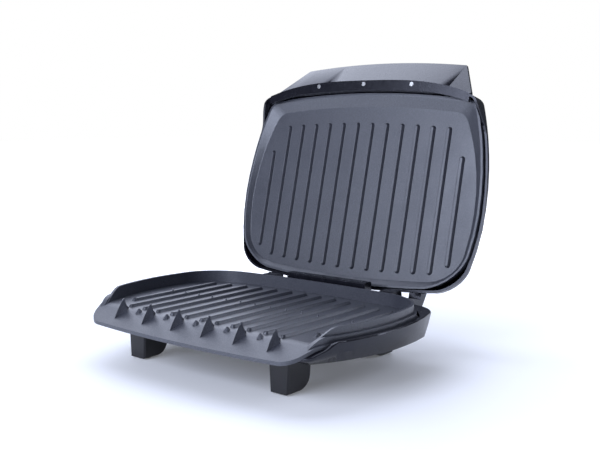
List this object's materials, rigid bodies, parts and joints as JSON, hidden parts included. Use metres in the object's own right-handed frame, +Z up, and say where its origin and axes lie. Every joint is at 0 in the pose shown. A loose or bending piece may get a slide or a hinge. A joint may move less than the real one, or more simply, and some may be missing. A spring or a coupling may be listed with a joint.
{
  "type": "contact grill",
  "caption": "Countertop ribbed contact grill standing open, with a floating hinged lid, a non-stick plate in each half, a front spout and a brow handle.",
  "frame": {"origin": "middle of the bounding box at table height, with the lid open", "axes": "+Z up, -Y towards the user at the spout, X across the grill along the hinge"},
  "size_m": [0.2806, 0.2854, 0.2579],
  "materials": {
    "plate": "dark non-stick coating, satin with a fine grain",
    "shell": "black, semi-gloss",
    "foot": "black, satin",
    "rubber": "black, matte",
    "steel": "plain steel",
    "sheath": "oxidised steel tube",
    "shield": "mill finish sheet",
    "ceramic": "pale ceramic or heat-resistant resin"
  },
  "bodies": {
    "base": {"base_shell": "shell", "lower_grill_plate": "plate", "lower_heating_element": "sheath", "lower_heat_shield": "shield", "thermostat": "ceramic", "thermal_fuse": "steel", "terminal_block": "ceramic", "cord_gland": "rubber", "front_left_foot": "foot", "front_right_foot": "foot", "rear_left_foot": "foot", "rear_right_foot": "foot", "front_left_foot_pad": "rubber", "front_right_foot_pad": "rubber", "rear_left_foot_pad": "rubber", "rear_right_foot_pad": "rubber", "base_screw_front_left": "steel", "base_screw_front_right": "steel", "base_screw_rear_left": "steel", "base_screw_rear_right": "steel", "lower_shield_screw_front_left": "steel", "lower_shield_screw_front_right": "steel", "lower_shield_screw_rear_left": "steel", "lower_shield_screw_rear_right": "steel"},
    "hinge_carriage": {"hinge_pin_left": "steel", "hinge_pin_right": "steel", "hinge_clip_left": "steel", "hinge_clip_right": "steel"},
    "lid": {"lid_shell": "shell", "upper_grill_plate": "plate", "upper_heating_element": "sheath", "upper_heat_shield": "shield", "lid_handle": "shell", "handle_screw_left": "steel", "handle_screw_middle": "steel", "handle_screw_right": "steel", "upper_shield_screw_front_left": "steel", "upper_shield_screw_front_right": "steel", "upper_shield_screw_rear_left": "steel", "upper_shield_screw_rear_right": "steel"}
  },
  "joints": [
    {"name": "hinge_float", "type": "slide", "parent": "base", "child": "hinge_carriage", "axis": [0, 0, 1], "range_m": [0, 0.008]},
    {"name": "lid_hinge", "type": "hinge", "parent": "hinge_carriage", "child": "lid", "pos_m": [0, 0.04986, 0.0394], "axis": [1, 0, 0], "range_deg": [0, 103.65]}
  ]
}
